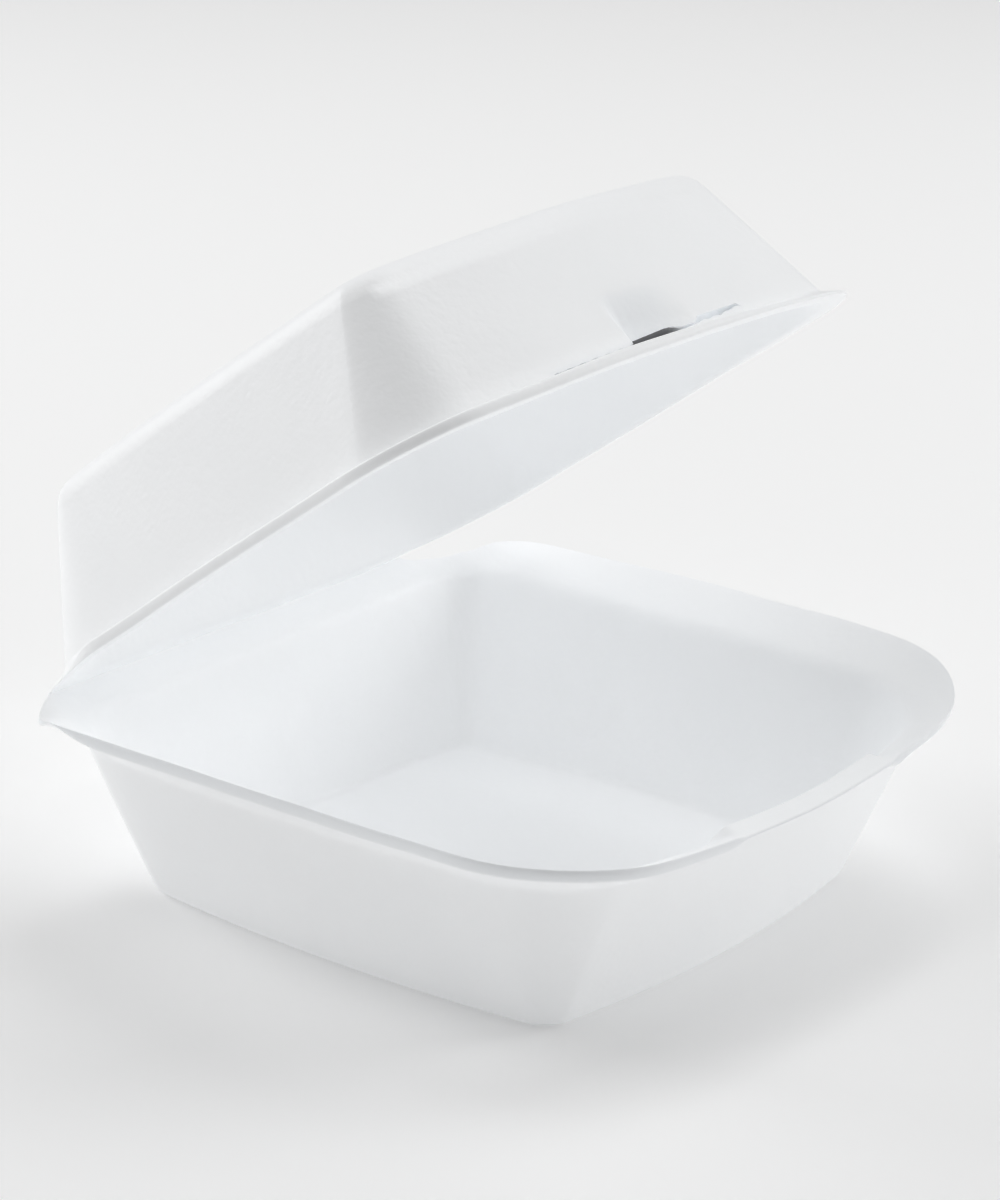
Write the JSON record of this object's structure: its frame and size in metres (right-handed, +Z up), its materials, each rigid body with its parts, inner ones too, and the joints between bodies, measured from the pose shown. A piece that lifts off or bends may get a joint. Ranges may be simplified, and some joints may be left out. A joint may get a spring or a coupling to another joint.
{
  "type": "foam clamshell container",
  "caption": "Hinged foam clamshell food container with a square tray, a domed square lid and a slit-and-tongue front latch, standing part open.",
  "frame": {"origin": "on the table plane under the tray's flat floor, on the container's mid-plane, half way between the fold line and the straight line through the ends of the front rim", "axes": "+X along the fold line, -Y towards the latch at the front, +Y towards the fold line at the back, +Z up"},
  "size_m": [0.153, 0.156, 0.1466],
  "materials": {
    "foam": "satin"
  },
  "bodies": {
    "base": {"base_tray": "foam"},
    "lid": {"lid": "foam"}
  },
  "joints": [
    {"name": "lid_hinge", "type": "hinge", "parent": "base", "child": "lid", "pos_m": [0, 0.071, 0.043], "axis": [-1, 0, 0], "range_deg": [-36, 144]}
  ]
}
